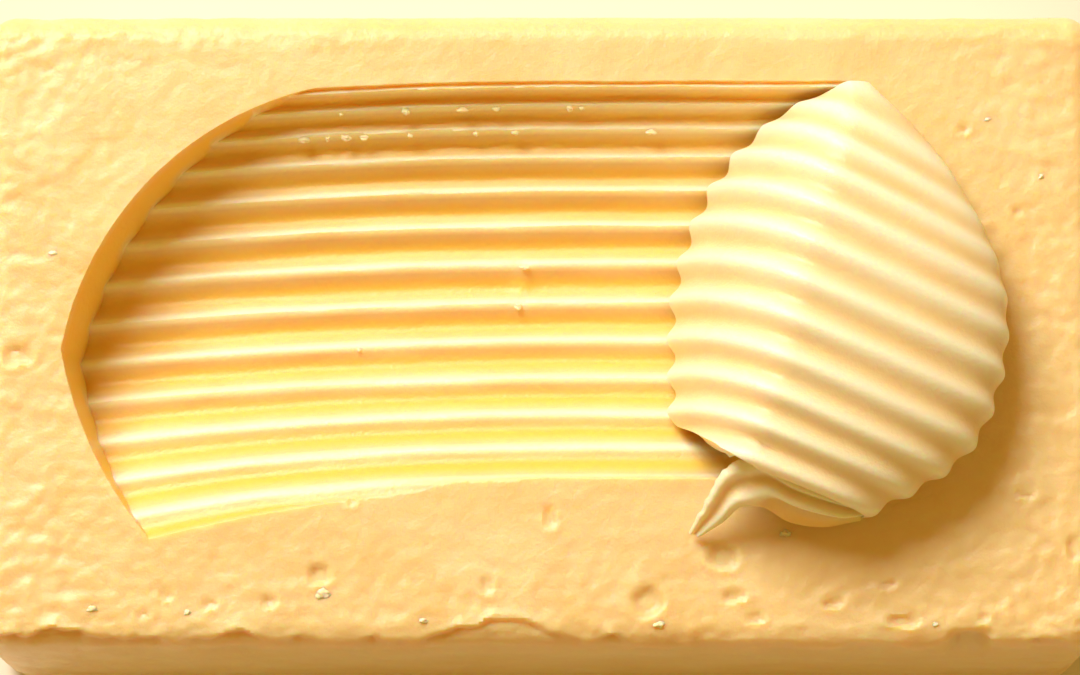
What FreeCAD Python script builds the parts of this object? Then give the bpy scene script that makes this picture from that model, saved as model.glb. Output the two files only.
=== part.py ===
"""A block of butter with a ridged trough scraped along its top and the curl that was scraped out of it.

Frame: origin at the centre of the block's underside, +X along the block in the direction of the scrape,
+Y to the back, +Z up, millimetres. The trough runs from -X to +X and the curl sits at its +X end.

A "row" is one ridge line of the scraper. Row 0 is the ridge nearest the trough's back edge and the numbers
grow towards the front. The trough floor and the outside of the curl carry the same rows.
"""

import FreeCAD, Part
import math
import os

os.makedirs("parts", exist_ok=True)
doc = FreeCAD.newDocument("butter")

# ---------------------------------------------------------------- driving dimensions
sheet = doc.addObject("Spreadsheet::Sheet", "sizes")
DIMENSIONS = {
    # the block
    "blockLength": 117.0,
    "blockWidth": 67.0,
    "blockHeight": 36.0,
    "topRounding": 2.6,
    "footRounding": 2.0,
    "cornerRounding": 4.0,
    # the scraped trough
    "troughDepth": 10.5,
    "troughLine": 3.0,
    "rowPitch": 4.1,
    "bottomRow": 6.3,
    "backRadius": 23.6,
    "frontRadius": 38.5,
    "backEdgeRow": -1.5,
    "frontEdgeRow": 11.2,
    "ridgeHeight": 1.1,
    "bendStart": 6.2,
    "bendShift": 2.8,
    "fanStartRow": 7.0,
    "fanShift": 0.17,
    "entryExtraRows": 0.8,
    "entryEnd": -49.6,
    "entryRadius": 34.2,
    "entryLine": -8.0,
    "entryCornerX": -40.6,
    "entryCornerY": -21.4,
    "entryBulge": 1.4,
    "entryDraft": 1.6,
    # the curl
    "rootEnd": 13.7,
    "rootSweep": 0.27,
    "sweepRow": 7.0,
    "curlRise": 13.0,
    "tallestRow": 6.0,
    "risingRows": 7.2,
    "curlWall": 2.9,
    "rootWall": 1.2,
    "curlRidgeHeight": 0.9,
    "tipX": 33.2,
    "tipY": 26.5,
    "tipWidth": 2.2,
    "shoulderX": 41.3,
    "shoulderY": 17.6,
    "sideX": 48.0,
    "sideY": 0.5,
    "flankX": 44.6,
    "flankY": -12.4,
    "mouthX": 31.0,
    "mouthY": -21.4,
    "tearRow": 9.3,
    "tongueTipX": 15.8,
    "tongueTipY": -20.8,
    "tongueArchX": 22.2,
    "tongueArchY": -15.2,
    "tongueArchDrop": 7.6,
    "tongueWidth": 7.4,
    "tongueTipWidth": 2.4,
    "tongueWall": 2.0,
    # fit
    "seatGap": 0.4,
}

# shares: plain numbers that say how the shapes are divided
SIDE_START, SIDE_STEP, TIP_PULL = 0.27, 0.067, 0.6      # where the rows meet the curl's outline
CROWN_SHARE = 0.5       # the crown's place along a row's path
ROOT_LEAN = 0.3         # how soon the path spreads out of the steep root
WIDEST_SHARE = 0.36     # the height of the curl's widest line, of its rise
FLAP_SHARE = 0.5        # how far the outside runs back under the curl, of its rise
LEAST_RISE = 0.03       # keeps the outermost rows from falling flat
WALL_SHARE = 0.13       # the wall's upper limit, of the row's width
WALL_GROWTH = 0.25      # the share of the path over which the wall grows to its full thickness
TONGUE_RIDGE, TONGUE_SAG = 0.35, 0.6    # the torn strip's ridges, and how far its sides round off
RAMP_START, RAMP_RUN = 0.24, 0.4    # under the curl: where the floor starts to climb, and over how much
LID = 1.5               # how far above the block the climbing floor ends
for line, (alias, value) in enumerate(DIMENSIONS.items(), start=1):
    sheet.set(f"A{line}", alias)
    sheet.set(f"B{line}", str(value))
    sheet.setAlias(f"B{line}", alias)
doc.recompute()


def size(alias):
    """A driving dimension, read back from the spreadsheet."""
    return float(sheet.get(alias))


# ---------------------------------------------------------------- the scraper's rows
TOP = size("blockHeight")
BACK_STEP = size("rowPitch") / size("backRadius")
FRONT_STEP = size("rowPitch") / size("frontRadius")


def bend_share(x):
    """0 where the rows run straight, 1 at the trough's -X end."""
    run = size("bendStart") - size("entryEnd")
    return (max(0.0, size("bendStart") - x) / run) ** 2


def row_y(row, x):
    """The row's place across the block, at x along it."""
    steps = size("bottomRow") - row
    if steps > 0:
        y = size("backRadius") * math.sin(BACK_STEP * steps)
    else:
        y = size("frontRadius") * math.sin(FRONT_STEP * steps)
    y -= size("bendShift") * bend_share(x)
    # the rows fan out a little at the front of the -X end, where the blade went in at a slant
    y -= size("fanShift") * max(0.0, row - size("fanStartRow")) ** 2 * bend_share(x) ** 1.8
    return size("troughLine") + y


def floor_z(row, x):
    """The height of the trough's floor, without its ridges."""
    steps = size("bottomRow") - row
    if steps > 0:
        edge = BACK_STEP * (size("bottomRow") - size("backEdgeRow"))
        share = (1 - math.cos(BACK_STEP * steps)) / (1 - math.cos(edge))
    else:
        edge_row = size("frontEdgeRow") + size("entryExtraRows") * bend_share(x)
        edge = FRONT_STEP * (edge_row - size("bottomRow"))
        share = (1 - math.cos(FRONT_STEP * steps)) / (1 - math.cos(edge))
    return TOP - size("troughDepth") * (1 - share)


def row_at(y, x):
    """The row that runs through a place between the trough's deepest line and beyond its back edge."""
    reach = (y - size("troughLine") + size("bendShift") * bend_share(x)) / size("backRadius")
    return size("bottomRow") - math.asin(min(1.0, max(-1.0, reach))) / BACK_STEP


def ridge(row, height):
    """The ridge wave: highest on whole rows, lowest half way between them."""
    return 0.5 * height * math.cos(2 * math.pi * row)


def root_x(row):
    """Where the curl leaves the trough, along the block."""
    return size("rootEnd") + size("rootSweep") * max(0.0, size("sweepRow") - row) ** 2


SIDE = Part.BSplineCurve()
SIDE.interpolate([FreeCAD.Vector(size(n + "X"), size(n + "Y"), 0)
                  for n in ("tip", "shoulder", "side", "flank", "mouth")])
SIDE_LENGTH = SIDE.length()


def side_point(row):
    """Where the row reaches the curl's widest outline on the +X side."""
    # row -1 ends at the tip itself
    pull = (SIDE_START - SIDE_STEP) * math.exp(-(row + 1) / TIP_PULL)
    share = min(1.0, max(0.0, SIDE_START + SIDE_STEP * row - pull))
    return SIDE.value(SIDE.parameterAtDistance(share * SIDE_LENGTH, SIDE.FirstParameter))


# ---------------------------------------------------------------- solids from two point grids
def surface(grid):
    """The smooth surface through a grid of points."""
    skin = Part.BSplineSurface()
    skin.interpolate(grid)
    return skin


def between(grid_a, grid_b):
    """The closed solid between two grids of the same size, with ruled walls round the edge."""
    skins = [surface(grid_a), surface(grid_b)]
    faces = [skin.toShape() for skin in skins]
    for side in range(4):
        edges = []
        for skin in skins:
            u0, u1, v0, v1 = skin.bounds()
            edges.append([skin.uIso(u0), skin.uIso(u1), skin.vIso(v0), skin.vIso(v1)][side])
        wall = Part.BSplineSurface()
        wall.buildFromNSections(edges)
        faces.append(wall.toShape())
    shell = Part.makeShell(faces)
    shell.sewShape()
    solid = Part.makeSolid(shell)
    if solid.Volume < 0:
        solid.reverse()
    return solid


def steps_between(first, last, count):
    """Evenly spaced values, both ends included."""
    return [first + (last - first) * i / (count - 1) for i in range(count)]


# ---------------------------------------------------------------- block
blank = doc.addObject("Part::Box", "blank")
blank.setExpression("Length", "sizes.blockLength")
blank.setExpression("Width", "sizes.blockWidth")
blank.setExpression("Height", "sizes.blockHeight")
blank.setExpression("Placement.Base.x", "-sizes.blockLength / 2")
blank.setExpression("Placement.Base.y", "-sizes.blockWidth / 2")
doc.recompute()


def edge_radius(edge):
    """The rounding that an edge of the blank gets."""
    box = edge.BoundBox
    if box.ZLength > 1:
        return size("cornerRounding")
    return size("topRounding") if box.ZMin > TOP / 2 else size("footRounding")


rounded = doc.addObject("Part::Fillet", "roundedBlank")
rounded.Base = blank
rounded.Edges = [(i, edge_radius(e), edge_radius(e)) for i, e in enumerate(blank.Shape.Edges, start=1)]
doc.recompute()


def trough_grids():
    """The ridged floor of the trough, and a flat lid above the block."""
    rows = steps_between(size("backEdgeRow") - 0.5, size("frontEdgeRow") + 1.55, 58)
    stations = steps_between(size("entryEnd") - 3, size("shoulderX"), 24)
    floor, lid = [], []
    for x in stations:
        floor.append([])
        lid.append([])
        for row in rows:
            z = floor_z(row, x)
            # under the curl the floor climbs back to the block's top
            under = min(size("frontEdgeRow"), max(0.0, row))
            start = root_x(under)
            ahead = (x - start) / (side_point(under).x - start)
            ahead = min(1.0, max(0.0, (ahead - RAMP_START) / RAMP_RUN))
            z += max(0.0, TOP + LID - z) * ahead * ahead * (3 - 2 * ahead)
            wave = ridge(row, size("ridgeHeight")) * (1 - ahead)
            floor[-1].append(FreeCAD.Vector(x, row_y(row, x), z + wave))
            lid[-1].append(FreeCAD.Vector(x, row_y(row, x), TOP + 8))
    return floor, lid


scrape = doc.addObject("Part::Feature", "scrape")
scrape.Shape = between(*trough_grids())


def entry_wire(z, inset):
    """The trough's outline at a height: two arcs round its -X end, and straight runs out past the curl."""
    radius = size("entryRadius") - inset
    centre_x = size("entryEnd") + size("entryRadius")
    line = size("entryLine")

    def on_back_arc(degrees):
        a = math.radians(degrees)
        return FreeCAD.Vector(centre_x + radius * math.cos(a), line + radius * math.sin(a), z)

    left = on_back_arc(170)
    corner = FreeCAD.Vector(size("entryCornerX") + inset, size("entryCornerY") + inset, z)
    outward = FreeCAD.Vector(corner.y - left.y, left.x - corner.x, 0).normalize()
    middle = (left + corner) * 0.5 + outward * size("entryBulge")
    back = on_back_arc(90)
    far_x, low_y = size("blockLength") / 2, -size("blockWidth") / 2
    round_trip = [corner, FreeCAD.Vector(corner.x + 6, low_y, z), FreeCAD.Vector(far_x, low_y, z),
                  FreeCAD.Vector(far_x, back.y, z), back]
    edges = [Part.Arc(back, on_back_arc(130), left).toShape(), Part.Arc(left, middle, corner).toShape()]
    edges += [Part.makeLine(p, q) for p, q in zip(round_trip, round_trip[1:])]
    return Part.Wire(edges)


entry = doc.addObject("Part::Feature", "entryWall")
entry.Shape = Part.makeLoft(
    [entry_wire(TOP - 14, size("entryDraft")), entry_wire(TOP + 6, 0.0)], True, True)

cutter = doc.addObject("Part::Common", "troughCutter")
cutter.Base = scrape
cutter.Tool = entry

block = doc.addObject("Part::Cut", "block")
block.Base = rounded
block.Tool = cutter
block.Label = "block"
doc.recompute()


# ---------------------------------------------------------------- curl
def rise(row):
    """How far the curl stands above the block's top at a row."""
    from_tallest = (row - size("tallestRow")) / size("risingRows")
    return size("curlRise") * math.sqrt(max(LEAST_RISE, 1 - from_tallest ** 2))


def root_point(row):
    """Where the row's ridge leaves the trough."""
    x = root_x(max(row, 0.0))
    y = row_y(max(row, 0.0), x)
    if row < 0:
        x += (size("tipX") - size("tipWidth") - x) * -row
        y += (size("tipY") - 0.5 * size("tipWidth") - y) * -row
    ground = min(TOP, floor_z(row_at(y, x) if row < 0 else row, x))
    return FreeCAD.Vector(x, y, ground + 0.5 * size("ridgeHeight") + size("seatGap") + 0.4 * size("rootWall"))


def torn_share(row):
    """How much of the row's path is missing at the root, where the curl's front rows tore away."""
    past_tear = max(0.0, row - size("tearRow"))
    return 0.3 * min(1.0, past_tear / 0.7) + 0.1 * max(0.0, past_tear - 0.7)


def outside_path(row):
    """The row's ridge line over the outside of the curl: up from the root, over, down and tucked under."""
    root, side = root_point(row), side_point(row)
    bend = root + (side - root) * ROOT_LEAN
    high = rise(row)
    crown_z = TOP + high
    side_z = TOP + size("seatGap") + WIDEST_SHARE * high
    points = []
    first = torn_share(row)
    for i in range(41):
        f = first + (1 - first) * i / 40
        flat = root * (1 - f) ** 2 + bend * 2 * f * (1 - f) + side * f * f
        if f < CROWN_SHARE:
            z = root.z + (crown_z - root.z) * math.sin(math.pi / 2 * f / CROWN_SHARE) ** 0.9
        else:
            g = (f - CROWN_SHARE) / (1 - CROWN_SHARE)
            z = side_z + (crown_z - side_z) * math.sqrt(max(0.0, 1 - g * g))
        points.append(FreeCAD.Vector(flat.x, flat.y, z))
    inward = FreeCAD.Vector(bend.x - side.x, bend.y - side.y, 0).normalize()
    tuck, flap = WIDEST_SHARE * high, FLAP_SHARE * high
    low_z = TOP + size("seatGap") + 0.5 * size("curlRidgeHeight")
    for i in range(1, 9):
        a = math.pi / 2 * i / 8
        p = side + inward * tuck * (1 - math.cos(a))
        points.append(FreeCAD.Vector(p.x, p.y, side_z - (side_z - low_z) * math.sin(a)))
    for i in range(1, 7):
        p = side + inward * (tuck + flap * i / 6)
        points.append(FreeCAD.Vector(p.x, p.y, low_z))
    return points


def offset_path(points, distances):
    """The same line moved towards the curl's inside, square to the path in its own upright plane."""
    moved = []
    forward = None
    for i, p in enumerate(points):
        ahead = points[min(i + 1, len(points) - 1)] - points[max(i - 1, 0)]
        level = FreeCAD.Vector(ahead.x, ahead.y, 0)
        if level.Length > 1e-3:
            level.normalize()
            # past the side the path runs back under the curl, and its inside stays the same side
            forward = -level if forward and level.dot(forward) < 0 else level
        normal = forward * ahead.z - FreeCAD.Vector(0, 0, ahead.dot(forward))
        moved.append(p + normal.normalize() * distances[i])
    return moved


def spaced(points, count):
    """The line through the points, resampled at even spacing."""
    lengths = [0.0]
    for p, q in zip(points, points[1:]):
        lengths.append(lengths[-1] + (q - p).Length)
    result, i = [], 0
    for target in steps_between(0.0, lengths[-1], count):
        while i < len(points) - 2 and lengths[i + 1] < target:
            i += 1
        part = lengths[i + 1] - lengths[i]
        share = (target - lengths[i]) / part if part > 1e-9 else 0.0
        result.append(points[i] + (points[i + 1] - points[i]) * share)
    return result


def shell_grids():
    """The outside of the curl with its ridges, and its smooth inside."""
    outer, inner = [], []
    for row in steps_between(-0.8, size("frontEdgeRow"), 49):
        path = spaced(outside_path(row), 22)
        small = rise(row) / size("curlRise")
        width = (side_point(row) - root_point(row)).Length
        wall = min(size("curlWall") * small, WALL_SHARE * width)
        edge = wall if row > size("tearRow") else min(size("rootWall"), wall)
        walls = []
        for i in range(len(path)):
            grown = min(1.0, i / (len(path) - 1) / WALL_GROWTH)
            walls.append(edge + (wall - edge) * grown)
        wave = ridge(row, size("curlRidgeHeight") * min(1.0, small * 1.3))
        outer.append(offset_path(path, [-wave] * len(path)))
        inner.append(spaced(offset_path(path, walls), len(path)))
    return outer, inner


roll = doc.addObject("Part::Feature", "roll")
roll.Shape = between(*shell_grids())


def tongue_grids():
    """The torn strip that hangs from the curl's front: it arches over and bends down to its tip."""
    foot = FreeCAD.Vector(size("tongueTipX"), size("tongueTipY"), TOP + size("seatGap") + size("tongueWall"))
    arch = FreeCAD.Vector(size("tongueArchX"), size("tongueArchY"), TOP + size("curlRise") - size("tongueArchDrop"))
    # it grows out of the roll's front wall, some way behind the crown
    strip = outside_path(10.6)
    joint = strip[24] - FreeCAD.Vector(0, 0, 1.6)
    deep = strip[30] - FreeCAD.Vector(0, 0, 2.2)
    knee = (foot + arch) * 0.5 + FreeCAD.Vector(-0.6, 0.4, 0.6)
    middle = Part.BSplineCurve()
    middle.interpolate([foot, knee, arch, joint, deep])
    upper, lower = [], []
    first, last = middle.FirstParameter, middle.LastParameter
    for i in range(12):
        t = first + (last - first) * i / 11
        here, along = middle.value(t), middle.tangent(t)[0]
        across = FreeCAD.Vector(-along.y, along.x, 0).normalize()
        up = across.cross(along) * -1
        share = min(1.0, i / 5)
        width = size("tongueTipWidth") + (size("tongueWidth") - size("tongueTipWidth")) * share
        upper.append([])
        lower.append([])
        for j in range(13):
            s = j / 12 - 0.5
            # two ridges, on a back that rounds off to both sides
            lift = TONGUE_RIDGE * math.cos(4 * math.pi * s) - TONGUE_SAG * (2 * s) ** 2
            p = here + across * (width * s) + up * lift
            upper[-1].append(p)
            lower[-1].append(p - up * size("tongueWall"))
    return upper, lower


tongue = doc.addObject("Part::Feature", "tongue")
tongue.Shape = between(*tongue_grids())

curl = doc.addObject("Part::Fuse", "curl")
curl.Base = roll
curl.Tool = tongue
curl.Label = "curl"
doc.recompute()

# ---------------------------------------------------------------- check and write
for item in doc.Objects:
    if "Invalid" in item.State or "Error" in item.State:
        raise RuntimeError(f"{item.Label} failed: {item.State}")
for part in (block, curl):
    if part.Shape.isNull() or not part.Shape.isValid():
        raise RuntimeError(f"{part.Label} has no valid shape")
    part.Shape.exportStep(f"parts/{part.Label}.step")
    print("wrote", part.Label, round(part.Shape.Volume, 1))
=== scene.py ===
import math
import bpy
import bmesh
import numpy as np
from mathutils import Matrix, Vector, noise


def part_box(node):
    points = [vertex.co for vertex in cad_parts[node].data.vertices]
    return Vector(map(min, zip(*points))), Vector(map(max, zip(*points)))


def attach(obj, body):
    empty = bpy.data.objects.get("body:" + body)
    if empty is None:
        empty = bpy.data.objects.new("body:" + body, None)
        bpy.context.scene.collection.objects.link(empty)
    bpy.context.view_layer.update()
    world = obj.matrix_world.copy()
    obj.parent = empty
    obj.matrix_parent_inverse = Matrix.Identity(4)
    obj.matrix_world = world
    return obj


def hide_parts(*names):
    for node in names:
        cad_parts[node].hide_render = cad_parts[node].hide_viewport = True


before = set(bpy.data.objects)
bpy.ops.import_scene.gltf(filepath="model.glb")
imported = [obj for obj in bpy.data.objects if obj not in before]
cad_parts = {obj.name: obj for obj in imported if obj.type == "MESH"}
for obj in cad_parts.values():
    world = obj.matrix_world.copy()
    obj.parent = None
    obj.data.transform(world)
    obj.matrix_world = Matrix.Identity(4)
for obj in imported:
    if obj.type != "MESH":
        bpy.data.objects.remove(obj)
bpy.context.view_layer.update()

scene = bpy.context.scene
mm = 0.001
blockLow, blockHigh = [np.array(corner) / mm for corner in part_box("block")]
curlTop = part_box("curl")[1][2] / mm
topHeight = blockHigh[2]


# ---------------------------------------------------------------- small helpers
def linearColour(hexText):
    # sRGB hex to the linear colour that shader sockets take
    values = [int(hexText[i:i + 2], 16) / 255 for i in (0, 2, 4)]
    return [v / 12.92 if v <= 0.04045 else ((v + 0.055) / 1.055) ** 2.4 for v in values] + [1.0]


def deselectAll():
    if bpy.context.object and bpy.context.object.mode != "OBJECT":
        bpy.ops.object.mode_set(mode="OBJECT")
    bpy.ops.object.select_all(action="DESELECT")


def makeActive(piece):
    deselectAll()
    piece.select_set(True)
    bpy.context.view_layer.objects.active = piece


def applyModifier(piece, kind, **settings):
    makeActive(piece)
    modifier = piece.modifiers.new(kind.title(), kind)
    for key, value in settings.items():
        setattr(modifier, key, value)
    bpy.ops.object.modifier_apply(modifier=modifier.name)


def readPoints(piece):
    # the mesh's points in millimetres
    points = np.empty(len(piece.data.vertices) * 3)
    piece.data.vertices.foreach_get("co", points)
    return points.reshape(-1, 3) / mm


def writePoints(piece, points):
    piece.data.vertices.foreach_set("co", (points * mm).ravel())
    piece.data.update()


def roughness(points, grainSize, octaves=4, seed=0.0):
    # soft fractal noise from about -1 to 1, with grains of the given size in mm
    offset = Vector((seed * 13.1, seed * 7.7, seed * 3.3))
    return np.array([noise.fractal(Vector(p) / grainSize + offset, 1.0, 2.0, octaves) for p in points])


def smoothStep(low, high, value):
    t = np.clip((value - low) / (high - low), 0.0, 1.0)
    return t * t * (3 - 2 * t)


# ---------------------------------------------------------------- the scraper's rows
# A row is one ridge line. Row 0 is nearest the back edge and the numbers grow towards the front.
scrape = {
    "depth": 10.5,
    "line": 3.0,             # across the block, over the trough's deepest line
    "rowPitch": 4.1,
    "bottomRow": 6.3,
    "backRadius": 23.6,
    "frontRadius": 38.5,
    "backEdgeRow": -1.5,
    "frontEdgeRow": 11.2,
    "ridgeHeight": 1.2,
    "bendStart": 6.2,
    "bendShift": 2.8,
    "fanStartRow": 7,        # from here the rows spread out towards the front corner
    "fanShift": 0.17,
    "entryEnd": -50.1,
    "entryRadius": 34.2,
    "entryLine": -8.0,
    "entryCorner": (-40.6, -21.4),
    "entryBulge": 1.4,
    "entryDraft": 1.6,
    "entryExtraRows": 0.8,   # how much wider the trough is at its start
    "rootEnd": 13.7,
    "rootSweep": 0.27,
    "sweepRow": 7,
    "sharpness": 0.62,
}
backStep = scrape["rowPitch"] / scrape["backRadius"]
frontStep = scrape["rowPitch"] / scrape["frontRadius"]


def bendShare(x):
    run = scrape["bendStart"] - scrape["entryEnd"]
    return (np.clip(scrape["bendStart"] - x, 0.0, None) / run) ** 2


def rowY(row, x):
    steps = scrape["bottomRow"] - row
    back = scrape["backRadius"] * np.sin(backStep * steps)
    front = scrape["frontRadius"] * np.sin(frontStep * steps)
    fan = scrape["fanShift"] * np.clip(row - scrape["fanStartRow"], 0.0, None) ** 2 * bendShare(x) ** 1.8
    return scrape["line"] + np.where(steps > 0, back, front) - scrape["bendShift"] * bendShare(x) - fan


def floorZ(row, x):
    steps = scrape["bottomRow"] - row
    backEdge = backStep * (scrape["bottomRow"] - scrape["backEdgeRow"])
    back = (1 - np.cos(backStep * steps)) / (1 - math.cos(backEdge))
    edgeRow = scrape["frontEdgeRow"] + scrape["entryExtraRows"] * bendShare(x)
    frontEdge = frontStep * (edgeRow - scrape["bottomRow"])
    front = (1 - np.cos(frontStep * steps)) / (1 - np.cos(frontEdge))
    return topHeight - scrape["depth"] * (1 - np.where(steps > 0, back, front))


def rowAt(x, y):
    # which row runs through a place in the trough
    fan = 0.0
    for again in range(4):
        across = y - scrape["line"] + scrape["bendShift"] * bendShare(x) + fan
        back = np.arcsin(np.clip(across / scrape["backRadius"], -1, 1)) / backStep
        front = np.arcsin(np.clip(across / scrape["frontRadius"], -1, 1)) / frontStep
        row = scrape["bottomRow"] - np.where(across > 0, back, front)
        fan = scrape["fanShift"] * np.clip(row - scrape["fanStartRow"], 0.0, None) ** 2 * bendShare(x) ** 1.8
    return row


def ridgeWave(row, height, sharpness):
    # crests on whole rows; sharpness turns the soft wave into round grooves with narrow crests between them
    soft = np.cos(2 * np.pi * row)
    narrow = 1 - 2 * np.sqrt(np.sin(np.pi * row) ** 2 + 0.012)
    return 0.5 * height * ((1 - sharpness) * soft + sharpness * narrow)


def rootX(row):
    # where the curl leaves the trough
    return scrape["rootEnd"] + scrape["rootSweep"] * np.clip(scrape["sweepRow"] - row, 0.0, None) ** 2


# ---------------------------------------------------------------- the curl's outline
curl = {
    "rise": curlTop - topHeight,
    "tallestRow": 6.0,
    "risingRows": 7.2,       # from the tallest row to where the curl would run out
    "leastRise": 0.03,
    "crownShare": 0.5,       # how far along a row its highest point is
    "rootLean": 0.3,
    "widestShare": 0.36,     # the widest place's height, as a share of the row's rise
    "flapShare": 0.5,
    "tearRow": 9.4,
    "tearPerRow": 0.60,
    "sideStart": 0.27,
    "sideStep": 0.067,
    "tipPull": 0.203,
    "tipPullRows": 0.6,
    "sharpness": 0.15,
    "wallGrowth": 0.25,
    "wall": 2.6,
    "rootWall": 1.1,
    "ridgeHeight": 1.0,
    "tipWidth": 2.2,
    "outline": ((33.2, 26.5), (41.3, 17.6), (48.0, 0.5), (44.6, -12.4), (31.0, -21.4)),
    "seatGap": 0.4,
    "firstRow": -0.94,
    "lastRow": 10.25,
    "rows": 190,
    "steps": 120,
}


def splineThrough(corners, count):
    # a smooth line through a few points, at even spacing: cubic pieces whose lengths follow the points' distances
    corners = np.array([tuple(corner) + (0.0,) * (3 - len(corner)) for corner in corners])
    knots = np.concatenate([[0], np.cumsum(np.linalg.norm(np.diff(corners, axis=0), axis=1))])
    slopes = np.gradient(corners, knots, axis=0)
    points = []
    for i in range(len(corners) - 1):
        run = knots[i + 1] - knots[i]
        for t in np.linspace(0, 1, 200, endpoint=(i == len(corners) - 2)):
            points.append((2 * t ** 3 - 3 * t ** 2 + 1) * corners[i]
                          + (t ** 3 - 2 * t ** 2 + t) * run * slopes[i]
                          + (3 * t ** 2 - 2 * t ** 3) * corners[i + 1]
                          + (t ** 3 - t ** 2) * run * slopes[i + 1])
    points = np.array(points)
    lengths = np.concatenate([[0], np.cumsum(np.linalg.norm(np.diff(points, axis=0), axis=1))])
    target = np.linspace(0, lengths[-1], count)
    return np.stack([np.interp(target, lengths, points[:, i]) for i in range(3)], axis=1)


sideLine = splineThrough(curl["outline"], 400)


def sidePoint(row):
    # where the row meets the curl's widest outline; row -1 ends at the tip itself
    share = curl["sideStart"] + curl["sideStep"] * row
    share -= curl["tipPull"] * math.exp(-(row + 1) / curl["tipPullRows"])
    at = min(1.0, max(0.0, share)) * (len(sideLine) - 1)
    i = min(int(at), len(sideLine) - 2)
    return sideLine[i] + (sideLine[i + 1] - sideLine[i]) * (at - i)


# ---------------------------------------------------------------- butter
butterLook = {
    "paintedHighlight": "FFF4DC",       # painted highlight: pale cream on the ridges' crests, where the light catches them
    "base": "ECCF92",        # fresh, lightly salted table butter
    "pale": "F1DAA6",        # where air and water drops whiten it
    "paintedShade": "F8CD5E",      # painted shade: deep golden at the bottom of the scraped grooves
    "plain": 0.35,           # the painted shade attribute's value on plain skin, with neither painted shade nor painted highlight
    "endWallShade": 0.95,         # and on the trough's end wall, painted shade there
    "roughness": 0.42,
}


def addNode(tree, kind, settings=None, links=None):
    # one node, its settings by input or property name, and what feeds its inputs
    node = tree.nodes.new(kind)
    for key, value in (settings or {}).items():
        if key in node.inputs:
            node.inputs[key].default_value = value
        else:
            setattr(node, key, value)
    for key, source in (links or {}).items():
        tree.links.new(source, node.inputs[key])
    return node


def makeButter(name, depth):
    # fat with water drops a few microns wide: pale and satin; light goes a few millimetres in and comes back warmer
    material = bpy.data.materials.new(name)
    material.use_nodes = True
    tree = material.node_tree
    tree.nodes.clear()
    place = addNode(tree, "ShaderNodeTexCoord").outputs["Object"]
    clouds = addNode(tree, "ShaderNodeTexNoise", {"Scale": 1 / (9 * mm), "Detail": 3.0}, {"Vector": place})
    tint = addNode(tree, "ShaderNodeValToRGB", links={"Fac": clouds.outputs["Fac"]})
    tint.color_ramp.elements[0].position = 0.36
    tint.color_ramp.elements[0].color = linearColour(butterLook["base"])
    tint.color_ramp.elements[1].position = 0.72
    tint.color_ramp.elements[1].color = linearColour(butterLook["pale"])
    # the painted shade attribute runs from 0 on a crest, a painted highlight, to 1 at the bottom of a groove,
    # painted shade
    paintedShade = addNode(tree, "ShaderNodeAttribute", {"attribute_name": "paintedShade"})
    upper = addNode(tree, "ShaderNodeMapRange",
                    {"From Max": butterLook["plain"], "To Min": 1.0, "To Max": 0.0},
                    {"Value": paintedShade.outputs["Fac"]})
    lower = addNode(tree, "ShaderNodeMapRange",
                    {"From Min": butterLook["plain"], "From Max": 0.9},
                    {"Value": paintedShade.outputs["Fac"]})
    # painted highlight: mixes in the pale crest colour where the attribute is below the plain value
    highlightMix = addNode(tree, "ShaderNodeMixRGB", {"Color2": linearColour(butterLook["paintedHighlight"])},
                     {"Fac": upper.outputs["Result"], "Color1": tint.outputs["Color"]})
    # painted shade: mixes in the deep golden groove colour where the attribute is above the plain value
    colour = addNode(tree, "ShaderNodeMixRGB", {"Color2": linearColour(butterLook["paintedShade"])},
                     {"Fac": lower.outputs["Result"], "Color1": highlightMix.outputs["Color"]})
    grain = addNode(tree, "ShaderNodeTexNoise", {"Scale": 1 / (0.5 * mm), "Detail": 5.0, "Roughness": 0.6},
                    {"Vector": place})
    bump = addNode(tree, "ShaderNodeBump", {"Strength": 0.5, "Distance": 0.16 * mm},
                   {"Height": grain.outputs["Fac"]})
    shader = addNode(tree, "ShaderNodeBsdfPrincipled", {
        "Roughness": butterLook["roughness"],
        "IOR": 1.46,
        "Subsurface Weight": 1.0,
        "Specular IOR Level": 0.75,
        "Subsurface Radius": (1.0, 0.5, 0.12),
        "Subsurface Scale": depth * mm,
    }, {"Base Color": colour.outputs["Color"], "Normal": bump.outputs["Normal"]})
    addNode(tree, "ShaderNodeOutputMaterial", links={"Surface": shader.outputs["BSDF"]})
    return material


butter = makeButter("butter, churned and pressed", 2.6)
butterShaving = makeButter("butter, shaved thin", 0.8)
butterBits = makeButter("butter, torn off in crumbs", 0.35)


# keeps a painted shade level on each point: low values paint the pale crest colour as highlight, high values the
# deep golden groove colour as shade
def setPaintedShade(piece, values):
    attribute = piece.data.attributes.new("paintedShade", "FLOAT", "POINT")
    attribute.data.foreach_set("value", np.clip(values, 0.0, 1.0).astype(np.float32))


# ---------------------------------------------------------------- block
block = {
    "topRounding": 3.2,
    "footRounding": 2.0,
    "cornerRounding": 4.0,
    "cuts": ((16, 16), (12, 12), (5, 5)),   # along, across and up, each subdivided twice
}

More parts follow.
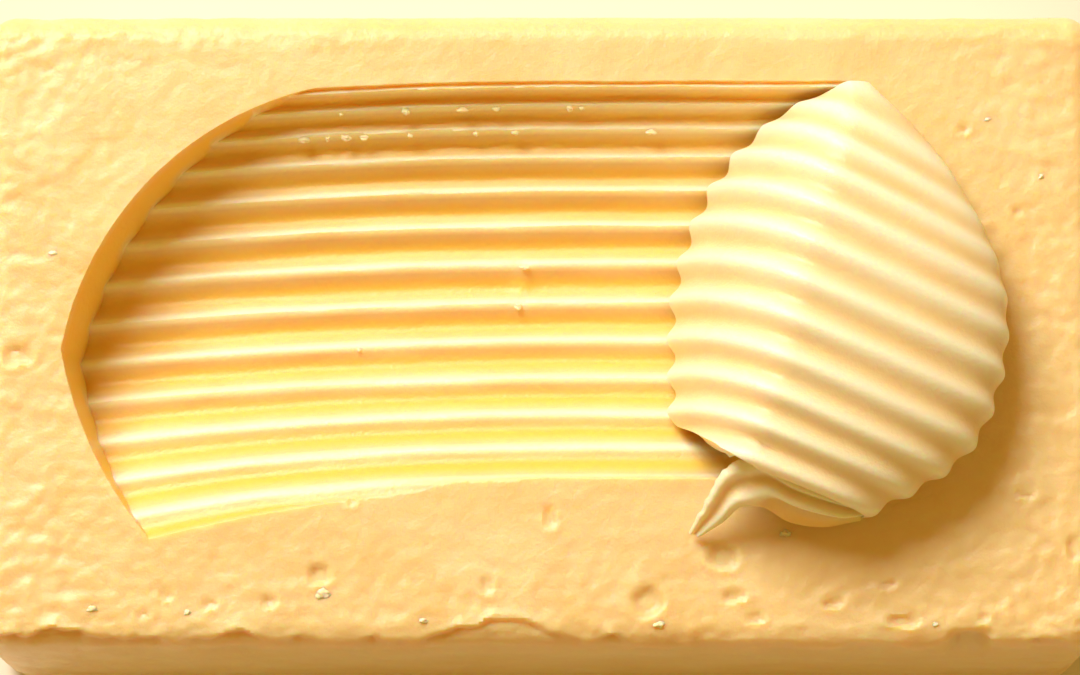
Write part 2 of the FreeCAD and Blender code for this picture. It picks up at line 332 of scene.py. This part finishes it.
skin = {
    "swell": 0.20,
    "plates": 0.06,
    "fine": 0.15,
    "edgeFlake": 0.55,
    "below": 0.12,           # keeps the highest spots inside the block's own size
    "notch": (44.2, 1.5),    # place along the front edge, and depth
    # x, y, length, width, turn in degrees, depth
    "pits": (
        (-22.7, -25.4, 2.3, 2.1, 8, 0.75), (-27.9, -28.3, 1.5, 1.2, 0, 0.6), (-34.0, -28.6, 2.0, 1.0, 15, 0.4),
        (-38.5, -27.6, 1.6, 1.1, -20, 0.4), (-40.8, -29.6, 1.8, 0.9, 5, 0.35), (1.0, -19.4, 1.4, 2.6, 10, 0.4),
        (-5.5, -26.5, 1.5, 2.0, -12, 0.4), (11.1, -28.2, 3.3, 3.1, 35, 0.8), (18.8, -23.5, 3.3, 2.6, -10, 0.9),
        (19.9, -27.7, 2.5, 1.4, 5, 0.6), (22.1, -30.0, 2.0, 1.3, 0, 0.5), (30.1, -28.4, 2.3, 1.1, 8, 0.6),
        (35.8, -26.4, 2.1, 0.9, 12, 0.5), (37.2, -30.3, 3.3, 1.3, -4, 0.7), (45.6, -29.9, 1.2, 1.1, 0, 0.5),
        (49.9, -17.2, 2.3, 0.8, -10, 0.4), (55.0, -22.6, 1.6, 2.8, 0, 0.5), (-54.1, -2.7, 3.3, 2.1, 10, 0.5),
        (-19.5, -17.6, 1.2, 1.6, 20, 0.3), (44.0, 21.0, 1.4, 1.0, 30, 0.4), (49.4, 12.4, 1.2, 0.9, 0, 0.35),
    ),
}


def subdivideAlong(piece, axis, cuts):
    # rings round the box, square to one axis
    makeActive(piece)
    for count in cuts:
        bpy.ops.object.mode_set(mode="EDIT")
        bpy.ops.mesh.select_mode(type="EDGE")
        bpy.ops.mesh.select_all(action="DESELECT")
        mesh = bmesh.from_edit_mesh(piece.data)
        for edge in mesh.edges:
            run = edge.verts[1].co - edge.verts[0].co
            edge.select_set(abs(run[axis]) > 0.99 * run.length)
        bmesh.update_edit_mesh(piece.data)
        bpy.ops.mesh.subdivide(number_cuts=count)
        bpy.ops.object.mode_set(mode="OBJECT")


def roundBox(points):
    # pushes a box's skin onto a box with rounded edges
    half = np.array([blockHigh[0], blockHigh[1]])
    top, foot, corner = block["topRounding"], block["footRounding"], block["cornerRounding"]
    x, y, z = points.T
    rounding = np.where(z > topHeight / 2, top, foot)
    inner = np.stack([np.clip(x, -half[0] + corner, half[0] - corner),
                      np.clip(y, -half[1] + corner, half[1] - corner)], axis=1)
    away = np.stack([x, y], axis=1) - inner
    reach = np.abs(away).max(axis=1) / corner          # 0 inside, 1 on the side walls
    length = np.linalg.norm(away, axis=1)
    direction = away / np.maximum(length, 1e-9)[:, None]
    # the flat outline first, then the roll from top or foot down the side
    flatReach = corner * reach
    outline = inner + direction * flatReach[:, None]
    down = np.clip((flatReach - (corner - rounding)) / rounding, 0.0, 1.0)   # 0 flat, 1 at the wall
    edgeDistance = np.where(z > topHeight / 2, topHeight - z, z)
    onWall = reach > 0.999
    angle = np.where(onWall, np.pi / 4 + np.pi / 4 * np.clip(edgeDistance / rounding, 0, 1),
                     np.pi / 4 * down)
    shift = np.where(down > 0, rounding * np.sin(angle) + corner - rounding, flatReach)
    drop = np.where(down > 0, rounding * (1 - np.cos(angle)), 0.0)
    drop = np.where(onWall, np.maximum(drop, np.where(edgeDistance > rounding, edgeDistance, drop)), drop)
    flat = inner + direction * np.minimum(shift, corner)[:, None]
    newZ = np.where(z > topHeight / 2, topHeight - drop, drop)
    return np.stack([flat[:, 0], flat[:, 1], newZ], axis=1)


def makeBlank():
    deselectAll()
    bpy.ops.mesh.primitive_cube_add(size=1, location=(0, 0, topHeight / 2 * mm))
    piece = bpy.context.object
    piece.scale = (blockHigh[0] * 2 * mm, blockHigh[1] * 2 * mm, topHeight * mm)
    bpy.ops.object.transform_apply(location=True, rotation=False, scale=True)
    for axis, cuts in enumerate(block["cuts"]):
        subdivideAlong(piece, axis, cuts)
    writePoints(piece, roundBox(readPoints(piece)))
    # the underside needs no fine mesh
    bpy.ops.object.mode_set(mode="EDIT")
    bpy.ops.mesh.select_mode(type="FACE")
    bpy.ops.mesh.select_all(action="DESELECT")
    mesh = bmesh.from_edit_mesh(piece.data)
    for face in mesh.faces:
        face.select_set(face.normal.z < -0.99 and face.calc_center_median().z < 1e-5)
    bmesh.update_edit_mesh(piece.data)
    bpy.ops.mesh.dissolve_faces()
    bpy.ops.object.mode_set(mode="OBJECT")
    weatherSkin(piece)
    return piece


def pitDepth(x, y):
    # small holes where crumbs of butter came away with the wrapper: steep inside, a low lip round them
    depth, lip = np.zeros(len(x)), np.zeros(len(x))
    for pitX, pitY, length, width, turn, deep in skin["pits"]:
        a = math.radians(turn)
        u = ((x - pitX) * math.cos(a) + (y - pitY) * math.sin(a)) / (length / 2)
        v = ((y - pitY) * math.cos(a) - (x - pitX) * math.sin(a)) / (width / 2)
        reach = (np.abs(u) ** 3 + np.abs(v) ** 3) ** (1 / 3)
        depth = np.maximum(depth, deep * (1 - smoothStep(0.55, 1.05, reach)))
        frontSide = 0.5 - 0.5 * v / np.maximum(reach, 0.1)
        lip = np.maximum(lip, 0.16 * np.exp(-((reach - 1.25) / 0.22) ** 2) * frontSide)
    return 0.7 * depth - lip


def weatherSkin(piece):
    # the skin of a block that was wrapped and handled: plates, crumbs torn off, a ragged front edge
    points = readPoints(piece)
    normals = np.empty(len(points) * 3)
    piece.data.vertices.foreach_get("normal", normals)
    normals = normals.reshape(-1, 3)
    x, y, z = points.T
    swell = roughness(points, 26.0, 2, 1)
    plates = roughness(points * (1.0, 1.6, 1.0), 4.0, 4, 2)
    fine = roughness(points, 1.25, 3, 3)
    # rougher at both ends and along the front, smoother in the middle
    rough = (0.30 + 0.55 * smoothStep(34, 56, np.abs(x)) + 0.45 * smoothStep(-16, -30, y)
             + 0.30 * smoothStep(24, 30, y) * smoothStep(0, -30, x))
    steps = (smoothStep(0.02, 0.10, plates) + smoothStep(0.26, 0.33, plates)
             + smoothStep(-0.24, -0.18, plates))
    onTop = smoothStep(0.5, 0.95, normals[:, 2])
    grain = skin["fine"] * (0.5 + fine) * rough * (0.25 + 0.75 * onTop)
    inward = skin["swell"] * (0.5 - swell) + skin["plates"] * steps * rough + grain
    # the front edge, where a flake of skin has broken off in places
    wander = roughness(np.column_stack([x, np.zeros(len(x)), np.zeros(len(x))]), 7.0, 4, 4)
    edgeY = (blockLow[1] + 1.5 + 1.7 * wander + 1.6 * np.exp(-((x + 3.5) / 5) ** 2)
             - 0.6 * smoothStep(6, 16, x))
    broken = smoothStep(0.25, -0.25, y - edgeY) * np.clip(0.75 + wander, 0.35, 1.2) * smoothStep(30, 33, z)
    ridge = np.exp(-((y - edgeY - 0.45) / 0.35) ** 2) * np.clip(0.6 + wander, 0, 1) * onTop
    notch = (np.exp(-((x - skin["notch"][0]) / 1.9) ** 4) * smoothStep(26, 32, z)
             * smoothStep(blockLow[1] + 2.6, blockLow[1] + 0.9, y))
    inward += skin["edgeFlake"] * broken - 0.28 * ridge + skin["notch"][1] * notch + pitDepth(x, y) * onTop
    inward = np.where(z < 3, np.minimum(inward, 0.3), inward)
    inward = np.maximum(inward, 0.0) + skin["below"]
    points = points - normals * inward[:, None] * (normals[:, 2] > -0.9)[:, None]
    writePoints(piece, points)


cutter = {
    "columns": 130,
    "rows": 196,
    "frontRow": 12.7,
    "rowSpan": 14.6,
    "endX": 41.0,
    "rampStart": 0.24,       # under the curl the floor climbs out of the block
    "rampEnd": 0.64,
    "clear": 1.5,
}


def makeScrapeCutter():
    # the ridged floor, pulled up to a lid above the block
    deselectAll()
    bpy.ops.mesh.primitive_grid_add(x_subdivisions=cutter["columns"], y_subdivisions=cutter["rows"], size=1)
    piece = bpy.context.object
    points = readPoints(piece) * mm + 0.5
    x = scrape["entryEnd"] - 2 + points[:, 0] * (cutter["endX"] - scrape["entryEnd"] + 2)
    row = cutter["frontRow"] - points[:, 1] * cutter["rowSpan"]
    under = np.clip(row, 0.0, scrape["frontEdgeRow"])
    sides = np.array([sidePoint(r)[0] for r in under])
    ahead = smoothStep(cutter["rampStart"], cutter["rampEnd"], (x - rootX(under)) / (sides - rootX(under)))
    z = floorZ(row, x)
    z = z + np.clip(topHeight + cutter["clear"] - z, 0.0, None) * ahead
    # the blade shivers a little, so no ridge is quite even along its length
    shiver = roughness(np.column_stack([x * 0.35, row * 2.5, row * 0]), 3.0, 3, 5)
    nick = (np.exp(-((x - 0.25 * (row - 5) + 2.2) / 0.7) ** 2)
            * smoothStep(4.6, 5.0, row) * smoothStep(6.3, 5.9, row))
    burr = roughness(np.column_stack([x, row * 9, row * 0]), 1.1, 3, 6) * smoothStep(2.4, 1.4, row)
    height = scrape["ridgeHeight"] * (1 + 0.16 * shiver - 0.5 * nick + 0.35 * burr)
    z = z + ridgeWave(row + 0.02 * shiver, height, scrape["sharpness"]) * (1 - ahead)
    writePoints(piece, np.stack([x, rowY(row, x) + 0.06 * shiver, z], axis=1))
    bpy.ops.object.mode_set(mode="EDIT")
    bpy.ops.mesh.select_all(action="SELECT")
    bpy.ops.mesh.extrude_region_move(TRANSFORM_OT_translate={"value": (0, 0, 30 * mm)})
    bpy.ops.transform.resize(value=(1, 1, 0), center_override=(0, 0, (topHeight + 9) * mm))
    bpy.ops.mesh.select_all(action="SELECT")
    bpy.ops.mesh.normals_make_consistent(inside=False)
    bpy.ops.object.mode_set(mode="OBJECT")
    return piece


def entryOutline():
    # the trough's outline on the block's top, as points in order
    radius, line = scrape["entryRadius"], scrape["entryLine"]
    centre = np.array([scrape["entryEnd"] + radius, line])
    angles = np.radians(np.linspace(90, 170, 90))
    backArc = centre + radius * np.stack([np.cos(angles), np.sin(angles)], axis=1)
    left, corner = backArc[-1], np.array(scrape["entryCorner"])
    share = np.linspace(0, 1, 40)[1:, None]
    outward = np.array([corner[1] - left[1], left[0] - corner[0]])
    outward = outward / np.linalg.norm(outward)
    frontArc = left + (corner - left) * share + outward * scrape["entryBulge"] * 4 * share * (1 - share)
    rest = np.array([[corner[0] + 6, blockLow[1]], [blockHigh[0], blockLow[1]],
                     [blockHigh[0], centre[1] + radius]])
    return np.concatenate([backArc, frontArc, rest])


def makeEntryCutter():
    outline = entryOutline()
    deselectAll()
    bpy.ops.mesh.primitive_circle_add(vertices=len(outline), radius=1, fill_type="NGON")
    piece = bpy.context.object
    top = topHeight + 6
    writePoints(piece, np.column_stack([outline, np.full(len(outline), top)]))
    bpy.ops.object.mode_set(mode="EDIT")
    centre = ((scrape["entryEnd"] + scrape["entryRadius"]) * mm, scrape["entryLine"] * mm, 0)
    shrink = 1 - scrape["entryDraft"] / scrape["entryRadius"] / 5
    bpy.ops.mesh.select_all(action="SELECT")
    for ring in range(7):
        step = -6 if ring == 0 else -2.2
        bpy.ops.mesh.extrude_region_move(TRANSFORM_OT_translate={"value": (0, 0, step * mm)})
        if ring:
            bpy.ops.transform.resize(value=(shrink, shrink, 1), center_override=centre)
    bpy.ops.mesh.select_all(action="SELECT")
    bpy.ops.mesh.normals_make_consistent(inside=False)
    bpy.ops.object.mode_set(mode="OBJECT")
    return piece


def makeBlock():
    piece = makeBlank()
    floor, entry = makeScrapeCutter(), makeEntryCutter()
    applyModifier(floor, "BOOLEAN", object=entry, operation="INTERSECT", solver="EXACT")
    applyModifier(piece, "BOOLEAN", object=floor, operation="DIFFERENCE", solver="EXACT")
    for tool in (floor, entry):
        bpy.data.objects.remove(tool, do_unlink=True)
    # painted shade and highlight: deep golden between the crests and over the trough's end wall, pale on the
    # crests, plain on the skin
    x, y, z = readPoints(piece).T
    row = rowAt(x, y)
    scraped = (smoothStep(0.25, 0.9, topHeight - z) * smoothStep(0.35, -0.1, np.abs(y - rowY(row, x)))
               * (x > scrape["entryEnd"] + 0.3) * (x < 42) * (row > -1.6) * (row < 12))
    onFloor = np.abs(z - floorZ(row, x)) < 1.1
    deep = 0.5 - ridgeWave(row, 1.0, 0.2)
    setPaintedShade(piece, butterLook["plain"]
              + scraped * (np.where(onFloor, deep, butterLook["endWallShade"]) - butterLook["plain"]))
    makeActive(piece)
    bpy.ops.object.shade_smooth_by_angle(angle=math.radians(40))
    return piece


butterBlock = makeBlock()
butterBlock.name = "butterBlock"
butterBlock.data.materials.clear()
butterBlock.data.materials.append(butter)
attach(butterBlock, "root")
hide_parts("block")
print("block:", len(butterBlock.data.polygons), "faces")

# ---------------------------------------------------------------- curl
def riseAt(row):
    fromTallest = (row - curl["tallestRow"]) / curl["risingRows"]
    share = math.sqrt(max(curl["leastRise"], 1 - fromTallest ** 2))
    return (curl["rise"] - 0.5 * curl["ridgeHeight"]) * share


def rootPoint(row):
    onFloor = max(row, 0.0)
    x = float(rootX(onFloor))
    y = float(rowY(np.array(onFloor), x))
    tip = curl["outline"][0]
    if row < 0:
        x += (tip[0] - curl["tipWidth"] - x) * -row
        y += (tip[1] - 0.5 * curl["tipWidth"] - y) * -row
    reach = (y - scrape["line"] + scrape["bendShift"] * bendShare(x)) / scrape["backRadius"]
    ground = scrape["bottomRow"] - math.asin(min(1.0, reach)) / backStep if row < 0 else row
    z = min(topHeight, float(floorZ(np.array(ground), x)))
    return np.array([x, y, z + 0.5 * scrape["ridgeHeight"] + curl["seatGap"] + 0.4 * curl["rootWall"]])


def tornShare(row):
    # the front rows tore away from the trough, so their lines start further up
    jag = noise.fractal(Vector((row * 2.3, 4.0, 1.0)), 1.0, 2.0, 3)
    return curl["tearPerRow"] * max(0.0, row - curl["tearRow"]) * (1 + 0.15 * jag)


def rowPath(row, count):
    # the row's line over the outside: up from the root, over, down and tucked under
    root, side = rootPoint(row), sidePoint(row)
    bend = root[:2] + (side[:2] - root[:2]) * curl["rootLean"]
    high = riseAt(row)
    crownShare, crownZ = curl["crownShare"], topHeight + high
    tuck, flap = curl["widestShare"] * high, curl["flapShare"] * high
    sideZ = topHeight + curl["seatGap"] + tuck
    f = tornShare(row) + (1 - tornShare(row)) * np.linspace(0, 1, 120)
    flat = (root[None, :2] * ((1 - f) ** 2)[:, None] + bend * (2 * f * (1 - f))[:, None]
            + side[None, :2] * (f ** 2)[:, None])
    up = root[2] + (crownZ - root[2]) * np.sin(np.pi / 2 * np.clip(f / crownShare, 0, 1)) ** 0.9
    g = np.clip((f - crownShare) / (1 - crownShare), 0, 1)
    over = sideZ + (crownZ - sideZ) * np.sqrt(1 - g * g)
    body = np.column_stack([flat, np.where(f < crownShare, up, over)])
    inward = bend - side[:2]
    inward = inward / np.linalg.norm(inward)
    lowZ = topHeight + curl["seatGap"] + 0.5 * curl["ridgeHeight"]
    a = np.pi / 2 * np.linspace(0, 1, 25)[1:]
    roll = np.column_stack([side[:2] + inward * (tuck * (1 - np.cos(a)))[:, None],
                            sideZ - (sideZ - lowZ) * np.sin(a)])
    s = np.linspace(0, 1, 12)[1:]
    under = np.column_stack([side[:2] + inward * (tuck + flap * s)[:, None], np.full(len(s), lowZ)])
    path = np.concatenate([body, roll, under])
    lengths = np.concatenate([[0], np.cumsum(np.linalg.norm(np.diff(path, axis=0), axis=1))])
    target = np.linspace(0, lengths[-1], count)
    return np.stack([np.interp(target, lengths, path[:, i]) for i in range(3)], axis=1)


def makeRoll():
    rows, steps = curl["rows"], curl["steps"]
    deselectAll()
    bpy.ops.mesh.primitive_grid_add(x_subdivisions=steps - 1, y_subdivisions=rows - 1, size=1)
    piece = bpy.context.object
    sheet = readPoints(piece) * mm + 0.5
    rowNumbers = curl["lastRow"] + (curl["firstRow"] - curl["lastRow"]) * np.linspace(0, 1, rows)
    grid = np.array([rowPath(row, steps) for row in rowNumbers])
    # outward direction from the grid's own tangents
    alongRow = np.gradient(grid, axis=1)
    acrossRows = np.gradient(grid, axis=0)
    outward = np.cross(alongRow, acrossRows)
    outward /= np.linalg.norm(outward, axis=2, keepdims=True)
    if outward[rows // 2, steps // 3, 2] < 0:
        outward = -outward
    small = np.array([riseAt(row) / curl["rise"] for row in rowNumbers])
    wave = ridgeWave(rowNumbers, curl["ridgeHeight"], curl["sharpness"]) * np.minimum(1.0, small * 1.3)
    wave = wave * (0.35 + 0.65 * smoothStep(-0.5, 3.0, rowNumbers))
    # the back rows run out flat towards the far side
    farSide = smoothStep(0.35, 0.62, np.linspace(0, 1, steps))
    runOut = 1 - farSide * (0.35 + 0.4 * smoothStep(5.5, 2.5, rowNumbers)[:, None])
    grid = grid + outward * (wave[:, None] * runOut)[:, :, None]
    i = np.rint(sheet[:, 0] * (steps - 1)).astype(int)
    j = np.rint(sheet[:, 1] * (rows - 1)).astype(int)
    writePoints(piece, grid[j, i])
    # painted highlight: pale crest colour on the curl's crests, less of it in its grooves, and the whole curl paler
    # than the block's skin
    setPaintedShade(piece, 0.36 * (0.5 - ridgeWave(rowNumbers, 1.0, curl["sharpness"]))[j] - 0.04)
    # the wall grows from the thin root to its full thickness
    share = i / (steps - 1)
    root = np.clip(share / curl["wallGrowth"], 0, 1)
    wall = (curl["rootWall"] / curl["wall"]) * (1 - root) + root
    width = wall * small[j]
    group = piece.vertex_groups.new(name="wall")
    for index, weight in enumerate(width):
        group.add([index], float(weight), "REPLACE")
    applyModifier(piece, "SOLIDIFY", thickness=curl["wall"] * mm, offset=-1.0, vertex_group="wall")
    return piece


tongue = {
    # the strip's two edges, from its tip on the block, over the arch and in under the roll:
    # x, y, height above the block's top
    "back": ((15.3, -21.3, 1.0), (17.2, -17.9, 4.2), (19.6, -14.7, 7.0), (22.1, -14.1, 8.0),
             (25.7, -15.9, 7.8), (30.2, -17.6, 6.3), (33.2, -18.6, 3.6)),
    "front": ((16.5, -21.7, 0.9), (18.8, -20.4, 2.5), (20.9, -19.0, 4.6), (22.6, -19.2, 4.6),
              (25.4, -20.6, 3.0), (29.4, -21.1, 2.3), (32.9, -20.3, 2.3)),
    "ridgeHeight": 0.75,
    "bulge": 1.0,
    "wall": 1.5,
    "along": 100,
    "across": 46,
}


def makeTongue():
    # the torn front strip of the shaving: two ridges, folded down onto the block
    along, across = tongue["along"], tongue["across"]
    deselectAll()
    bpy.ops.mesh.primitive_grid_add(x_subdivisions=along - 1, y_subdivisions=across - 1, size=1)
    piece = bpy.context.object
    sheet = readPoints(piece) * mm + 0.5
    i = np.rint(sheet[:, 0] * (along - 1)).astype(int)
    s = 1 - sheet[:, 1]
    back, front = splineThrough(tongue["back"], along), splineThrough(tongue["front"], along)
    up = np.cross(np.gradient(0.5 * (back + front), axis=0), back - front)
    up = np.array([np.convolve(np.pad(up[:, k], 8, mode="edge"), np.ones(17) / 17, "valid")
                   for k in range(3)]).T
    up /= np.linalg.norm(up, axis=1, keepdims=True)
    width = np.linalg.norm(back - front, axis=1)
    small = np.minimum(1.0, width / 4.5)
    # the front ridge lies near the front edge at the tip and moves up to the back one under the roll
    folded = smoothStep(0.35, 0.60, i / (along - 1))
    phase = np.clip((s - 0.15) / (0.65 - 0.37 * folded), None, 1.5)
    wave = 0.5 * tongue["ridgeHeight"] * np.cos(2 * np.pi * phase)
    bulge = tongue["bulge"] * np.sin(np.pi * s) * (0.35 + 0.65 * folded)
    # its back edge is torn
    tear = roughness(np.column_stack([i * 0.22, i * 0, i * 0]), 1.3, 3, 8)
    tear *= (1 - s) ** 4 * smoothStep(0.6, 0.4, i / along)
    points = (back[i] + (front - back)[i] * (s + 0.10 * tear)[:, None]
              + up[i] * ((wave + bulge) * small[i])[:, None])
    points[:, 2] += topHeight
    writePoints(piece, points)
    # painted highlight on the tongue's crests, and painted shade on the folded part towards its front edge
    setPaintedShade(piece, 0.12 - 0.4 * wave / tongue["ridgeHeight"] + 0.25 * folded * smoothStep(0.5, 0.8, s))
    thin = piece.vertex_groups.new(name="wall")
    for index, weight in enumerate(0.45 + 0.55 * smoothStep(0, 30, i)):
        thin.add([index], float(weight), "REPLACE")
    applyModifier(piece, "SOLIDIFY", thickness=tongue["wall"] * mm, offset=-1.0, vertex_group="wall")
    return piece


def joinPieces(pieces):
    deselectAll()
    for piece in pieces:
        piece.select_set(True)
    bpy.context.view_layer.objects.active = pieces[0]
    bpy.ops.object.join()
    bpy.ops.object.transform_apply(location=True, rotation=True, scale=True)
    return bpy.context.object


butterCurl = joinPieces([makeRoll(), makeTongue()])
makeActive(butterCurl)
bpy.ops.object.shade_smooth_by_angle(angle=math.radians(50))
butterCurl.name = "butterCurl"
butterCurl.data.materials.clear()
butterCurl.data.materials.append(butterShaving)
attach(butterCurl, "root")
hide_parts("curl")
print("curl:", len(butterCurl.data.polygons), "faces")

# ---------------------------------------------------------------- crumbs
crumbs = {
    # on the ridges, most of them at the back: row, x, size
    "onRidges": ((1, -24.7, 0.8), (1, -22.2, 0.6), (1, -20.3, 0.8), (1, -18.4, 0.6), (0, -14.0, 0.9),
                 (1, -13.6, 0.6), (0, -8.1, 0.7), (1, -6.7, 0.6), (0, -4.6, 0.6), (1, -2.6, 0.6),
                 (0, 3.1, 0.8), (0, 4.4, 0.5), (1, 11.6, 0.7), (0, -20.8, 0.5), (6, -2.3, 0.7),
                 (5, -1.6, 0.6), (7, -19.0, 0.5)),
    # on the block's top: x, y, size
    "onTop": ((-22.3, -27.4, 1.4), (25.3, -21.2, 0.9), (-36.2, -29.4, 0.9), (-12.0, -30.2, 0.8),
              (-46.0, -29.0, 0.8), (40.6, -30.6, 0.8), (12.3, -30.6, 1.0), (-50.5, 8.0, 0.7),
              (52.0, 16.0, 0.8), (46.5, 22.0, 0.7)),
}


def makeCrumb(place, size, seed):
    deselectAll()
    bpy.ops.mesh.primitive_ico_sphere_add(subdivisions=3, radius=1, location=(0, 0, 0))
    piece = bpy.context.object
    points = readPoints(piece) * mm
    lumps = 1 + 0.75 * roughness(points, 0.8, 4, seed)
    squash = np.array([1.1 + 0.4 * math.sin(seed * 2.1), 0.75, 0.42])
    writePoints(piece, np.array(place) + points * lumps[:, None] * squash * size / 2)
    # the crumbs take most of the pale crest colour, evenly all over
    setPaintedShade(piece, np.full(len(points), 0.12))
    return piece


def makeCrumbs():
    pieces = []
    for row, x, size in crumbs["onRidges"]:
        z = float(floorZ(np.array(row), x)) + 0.5 * scrape["ridgeHeight"]
        place = (x, float(rowY(np.array(row), x)) - 0.35, z - 0.1)
        pieces.append(makeCrumb(place, size, len(pieces) + 1))
    for x, y, size in crumbs["onTop"]:
        pieces.append(makeCrumb((x, y, topHeight - 0.34), 0.9 * size, len(pieces) + 1))
    return joinPieces(pieces)


butterCrumbs = makeCrumbs()
butterCrumbs.name = "butterCrumbs"
makeActive(butterCrumbs)
bpy.ops.object.shade_smooth()
butterCrumbs.data.materials.clear()
butterCrumbs.data.materials.append(butterBits)
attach(butterCrumbs, "root")
print("crumbs:", len(butterCrumbs.data.polygons), "faces")

# ---------------------------------------------------------------- floor, light and camera
stage = {
    "floor": "E9E2D6",
    "fill": "FFCB62",        # warm light from all round, which keeps the shadows golden
    "fillStrength": 0.47,
    "key": "FFFBF2",
    "viewWidth": 111.6,      # mm at the height of the block's top that the camera takes in
    "distance": 620.0,
    "elevation": 82.0,
    "target": (0.0, -0.9),
}

deselectAll()
bpy.ops.mesh.primitive_plane_add(size=1.6, location=(0, 0, -0.0002))
tableTop = bpy.context.object
tableTop.name = "tableTop"
paint = bpy.data.materials.new("painted board, matt")
paint.use_nodes = True
paintShader = paint.node_tree.nodes["Principled BSDF"]
paintShader.inputs["Base Color"].default_value = linearColour(stage["floor"])
paintShader.inputs["Roughness"].default_value = 0.8
tableTop.data.materials.append(paint)

world = bpy.data.worlds.new("studio")
scene.world = world
world.use_nodes = True
world.node_tree.nodes["Background"].inputs["Color"].default_value = linearColour(stage["fill"])
world.node_tree.nodes["Background"].inputs["Strength"].default_value = stage["fillStrength"]


def aimAt(thing, target):
    thing.rotation_euler = (Vector(target) - thing.location).to_track_quat("-Z", "Y").to_euler()


def addLamp(name, direction, distance, width, power, colour):
    data = bpy.data.lights.new(name, "AREA")
    data.shape = "DISK"
    data.size = width
    data.energy = power
    data.color = linearColour(colour)[:3]
    lamp = bpy.data.objects.new(name, data)
    scene.collection.objects.link(lamp)
    lamp.location = Vector(direction).normalized() * distance
    aimAt(lamp, (0, 0, 0.03))


addLamp("keyLamp", (-0.46, 0.74, 0.88), 0.9, 0.50, 10.4, stage["key"])

camera = bpy.data.objects.new("camera", bpy.data.cameras.new("camera"))
scene.collection.objects.link(camera)
target = Vector((stage["target"][0] * mm, stage["target"][1] * mm, topHeight * mm))
lift = math.radians(stage["elevation"])
camera.location = target + Vector((0, -math.cos(lift), math.sin(lift))) * stage["distance"] * mm
aimAt(camera, target)
camera.data.sensor_width = 36
camera.data.lens = 36 * stage["distance"] / stage["viewWidth"]
scene.camera = camera
scene.view_settings.view_transform = "Standard"
